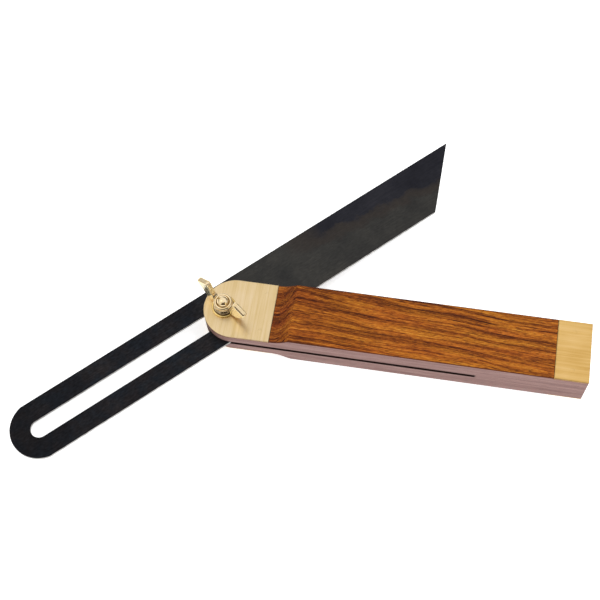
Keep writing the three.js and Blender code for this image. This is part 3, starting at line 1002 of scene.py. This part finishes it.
def build_washer():
    outer = (washer_high.x - washer_low.x) / 2
    thick = washer_high.z - washer_low.z
    profile = rounded([
        (SCREW_HOLE, 0, 0.1),
        (outer, 0, 0.15),
        (outer, thick, 0.45),
        (SCREW_HOLE, thick, 0.15),
    ])
    washer = turned("clamp_washer", profile, WASHER_SEGMENTS)
    move(washer, Matrix.Translation((PIVOT.x, PIVOT.y, washer_low.z)))
    place(finish_mesh(washer), "washer", SHADED_WASHER_BRASS, "polished_brass", "washer")


# ---------------------------------------------------------------- blade

# Distances along the blade are from the pivot, towards the point.
BLADE_WIDTH = 25.4
BLADE_TIP = 127.15
BLADE_END_RADIUS = 13.0
BLADE_END_CENTRE = -89.8
SLOT_RADIUS = 3.75
SLOT_STEPS = 48
SLOT_OUTER = -90.5
SLOT_INNER = 4.0
BLADE_SOFTNESS = 0.16
BLADE_RIM_STEPS = 3


def build_blade():
    half = BLADE_WIDTH / 2
    point = rounded([
        (BLADE_TIP - BLADE_WIDTH, -half, 0.25),
        (BLADE_TIP, half, 0.2),
        (0, half, 0),
        (0, -half, 0),
    ])
    # The two corners at the pivot only guide the rounding, and the round end takes their place.
    corner = math.asin(half / BLADE_END_RADIUS)
    end = arc((BLADE_END_CENTRE, 0), BLADE_END_RADIUS, math.pi - corner, math.pi + corner, ROUND_STEPS)
    slot = arc((SLOT_OUTER, 0), SLOT_RADIUS, QUARTER_TURN, 3 * QUARTER_TURN, SLOT_STEPS)
    slot += arc((SLOT_INNER, 0), SLOT_RADIUS, -QUARTER_TURN, QUARTER_TURN, SLOT_STEPS)
    slot.reverse()
    blade = slab(
        "steel_blade",
        [point[:-2] + end, slot],
        blade_low.z - MIDDLE,
        blade_high.z - MIDDLE,
        BLADE_SOFTNESS,
        BLADE_RIM_STEPS,
    )
    move(blade, AT_PIVOT @ Matrix.Rotation(BLADE_ANGLE, 4, "Z"))
    place(finish_mesh(blade), "blade", STEEL, "blued_steel", "blade")


# ---------------------------------------------------------------- wing nut

NUT_ANGLE = math.radians(-31.7)
NUT_BORE = 2.6
NUT_CORE = NUT_BORE - 0.6  # drilled out to the bore when the nut is whole
NUT_DRILL_START = -5.0  # heights above the head plate
NUT_DRILL_END = 20.0
NUT_VOXEL = 0.13
NUT_SMOOTHING = 10

# The turned hub, as (radius, height above the washer, reach of the rounding).
HUB_PROFILE = [
    (NUT_CORE, 0, 0),
    (4.4, 0, 0.2),
    (4.35, 0.7, 0.35),
    (3.3, 1.9, 0.7),
    (3.3, 2.5, 0.4),
    (4.0, 2.95, 0.4),
    (3.95, 4.2, 0.3),
    (3.45, 4.7, 0.2),
    (3.0, 4.7, 0.1),
    (NUT_BORE, 4.35, 0),
    (NUT_CORE, 4.35, 0),
]
# A wing from its flat side, as (distance from the axis, height above the plate, reach of the rounding).
WING_CORNERS = [
    (2.9, 1.6, 0),
    (8.6, 1.9, 2.8),
    (13.6, 10.0, 1.3),
    (7.0, 13.7, 1.6),
    (5.1, 5.6, 2.0),
    (2.9, 5.0, 0),
]
WING_HALF = 1.2
WING_SOFTNESS = 0.55
WING_CORNER_STEPS = 10


def soften_cast(nut):
    """Melts the wings and the hub into one casting."""
    remesh = nut.modifiers.new("cast", "REMESH")
    remesh.mode = "VOXEL"
    remesh.voxel_size = NUT_VOXEL
    soft = nut.modifiers.new("soft", "SMOOTH")
    soft.factor = 0.5
    soft.iterations = NUT_SMOOTHING
    apply_modifiers(nut)


def build_nut():
    foot = washer_high.z - washer_low.z
    hub = rounded([(radius, foot + up, reach) for radius, up, reach in HUB_PROFILE])
    nut = turned("wing_nut_body", hub)
    for turn in (0, math.pi):
        wing = slab("wing", [rounded(WING_CORNERS, WING_CORNER_STEPS)], -WING_HALF, WING_HALF, WING_SOFTNESS)
        move(wing, Matrix.Rotation(turn, 4, "Z") @ EDGE_TO_UPRIGHT)
        cut(nut, wing, "UNION")
    soften_cast(nut)
    move(nut, Matrix.Translation((PIVOT.x, PIVOT.y, head_high.z)) @ Matrix.Rotation(NUT_ANGLE, 4, "Z"))
    drill = rod("nut_bore", PIVOT, NUT_BORE, head_high.z + NUT_DRILL_START, head_high.z + NUT_DRILL_END)
    cut(nut, drill)
    place(finish_mesh(nut), "wing_nut", BRIGHT_BRASS, "polished_brass", "wing_nut")


build_stock()
for plate_face in ("front", "back"):
    build_head_plate(plate_face)
    build_tail_plate(plate_face)
for pin_name in PIN_NAMES:
    build_pin(pin_name)
build_screw()
build_bush()
build_washer()
build_blade()
build_nut()


# ---------------------------------------------------------------- studio, in metres

FLOOR_REACH = 4.0
FLOOR_LEVEL = -0.0002  # just clear of the tool's back face
FLOOR_GLOW = 0.25
FLOOR_GLOW_SEEN = 0.3  # more for the camera, so the floor looks white
FLOOR_STOPS = [(0.3, (0.93, 0.93, 0.93)), (0.7, (0.96, 0.96, 0.96))]

LAMP_SIZE = 0.7
LAMPS = [
    ("key", (0.45, 0.2, 0.75), 3.5),
    ("front", (-0.1, -0.8, 0.45), 2.5),
]

# Headings go once round from -X through -Y, +X and +Y. The near side is about a quarter.
PANEL_HEADINGS = [
    (0.0, 0.6), (0.05, 1.0), (0.17, 1.0), (0.21, 0.05),
    (0.44, 0.0), (0.48, 0.85), (0.55, 0.85), (0.60, 0.1),
    (0.75, 0.15), (0.80, 0.9), (0.92, 0.9), (0.96, 0.3), (1.0, 0.6),
]
NEAR_HEADINGS = [(0.17, 0.0), (0.22, 1.0), (0.43, 1.0), (0.48, 0.0)]
OVERHEAD_HEADINGS = [(0.0, 1.0), (0.1, 0.0), (0.9, 0.0), (1.0, 1.0)]

# Heights go from 0 on the horizon to 1 overhead.
WHITE = (1.0, 1.0, 1.0)
FAR_ROOM = [(0.0, (0.09, 0.07, 0.05)), (0.35, (0.14, 0.12, 0.09)), (0.7, WHITE)]
NEAR_ROOM = [(0.0, (0.06, 0.04, 0.02)), (0.78, (0.10, 0.07, 0.04)), (0.88, (0.4, 0.4, 0.4)), (0.93, WHITE)]
PANEL_HEIGHTS = [(0.0, 0.25), (0.25, 0.95), (0.7, 1.0)]
OVERHEAD_HEIGHTS = [(0.8, 0.0), (0.88, 1.0)]
OVERHEAD_GLOW = 0.7
LIGHT_HEIGHTS = [(0.0, 0.45), (0.8, 1.0)]
BACKDROP = (0.9, 0.9, 0.9)

CAMERA_AIM = Vector((-0.05956, 0.01052, 0.0092))
CAMERA_DISTANCE = 0.50452
CAMERA_ELEVATION = math.radians(65.062)
CAMERA_HEADING = math.radians(13.797)
CAMERA_ROLL = math.radians(4.943)
CAMERA_LENS = 71.016
CAMERA_SENSOR = 36.0


def floor_material():
    n = Surface("pale_floor")
    seen = n.add("ShaderNodeLightPath").outputs["Is Camera Ray"]
    return n.finish(
        Base_Color=n.ramp(n.noise(n.stretch(0.02, 0.02, 0.02)), FLOOR_STOPS),
        Roughness=0.9,
        Specular_IOR_Level=0.1,
        Emission_Color=WHITE,
        Emission_Strength=n.math("MULTIPLY_ADD", seen, FLOOR_GLOW_SEEN, FLOOR_GLOW),
    )


def build_floor():
    corners = [(sx * FLOOR_REACH, sy * FLOOR_REACH, FLOOR_LEVEL) for sx, sy in SQUARE]
    floor = make_object("floor", corners, [(0, 1, 2, 3)])
    floor.data.materials.append(floor_material())


def area_light(name, location, power):
    """A round lamp that points at the origin. Metals don't mirror it: they see the room instead."""
    light = bpy.data.lights.new(name, "AREA")
    light.shape = "DISK"
    light.size = LAMP_SIZE
    light.energy = power
    lamp = bpy.data.objects.new(name, light)
    lamp.location = location
    lamp.rotation_euler = (-Vector(location)).to_track_quat("-Z", "Y").to_euler()
    lamp.visible_glossy = False
    bpy.context.scene.collection.objects.link(lamp)


def mirrored_room(n, height, heading):
    """What reflections see: a dark band above the horizon, broken by three bright panels."""
    room = n.mix(n.graph(heading, NEAR_HEADINGS), n.ramp(height, FAR_ROOM), n.ramp(height, NEAR_ROOM))
    panel = n.graph(height, PANEL_HEIGHTS)
    overhead = n.product(n.graph(heading, OVERHEAD_HEADINGS), n.graph(height, OVERHEAD_HEIGHTS))
    return n.add(
        "ShaderNodeBackground",
        Color=n.mix(n.graph(heading, PANEL_HEADINGS), room, panel),
        # Overhead, the room is brighter towards -X.
        Strength=n.math("MULTIPLY_ADD", overhead, OVERHEAD_GLOW, 1.0),
    )


def build_world():
    """A soft white room. Its light is even, but reflections see a room with dark and bright parts."""
    world = bpy.data.worlds.new("studio")
    bpy.context.scene.world = world
    world.use_nodes = True
    n = Nodes(world.node_tree)
    x, y, height = n.parts(n.coordinates["Generated"])
    heading = n.math("MULTIPLY_ADD", n.math("ARCTAN2", y, x), 1 / TWO_PI, 0.5)
    path = n.add("ShaderNodeLightPath").outputs
    even = n.add("ShaderNodeBackground", Color=n.graph(height, LIGHT_HEIGHTS))
    plain = n.add("ShaderNodeBackground", Color=BACKDROP)
    unseen = n.mix_shaders(path["Is Glossy Ray"], even, mirrored_room(n, height, heading))
    shown = n.mix_shaders(path["Is Camera Ray"], unseen, plain)
    n.add("ShaderNodeOutputWorld", Surface=shown.outputs[0])


def build_camera():
    """The main view: from 65 degrees above the near edge, looking along +Y turned 14 degrees to -X."""
    lens = bpy.data.cameras.new("camera")
    lens.lens = CAMERA_LENS
    lens.sensor_width = CAMERA_SENSOR
    lens.clip_start = 0.01
    lens.clip_end = 20
    camera = bpy.data.objects.new("camera", lens)
    bpy.context.scene.collection.objects.link(camera)
    tilt = Matrix.Rotation(QUARTER_TURN - CAMERA_ELEVATION, 4, "X") @ Matrix.Rotation(-CAMERA_ROLL, 4, "Z")
    turn = Matrix.Rotation(CAMERA_HEADING, 4, "Z") @ tilt
    back = turn @ Vector((0, 0, CAMERA_DISTANCE))
    camera.matrix_world = Matrix.Translation(CAMERA_AIM + back) @ turn
    bpy.context.scene.camera = camera


build_floor()
build_world()
for lamp_name, lamp_place, lamp_power in LAMPS:
    area_light(lamp_name, lamp_place, lamp_power)
build_camera()
bpy.context.scene.view_settings.view_transform = "Standard"
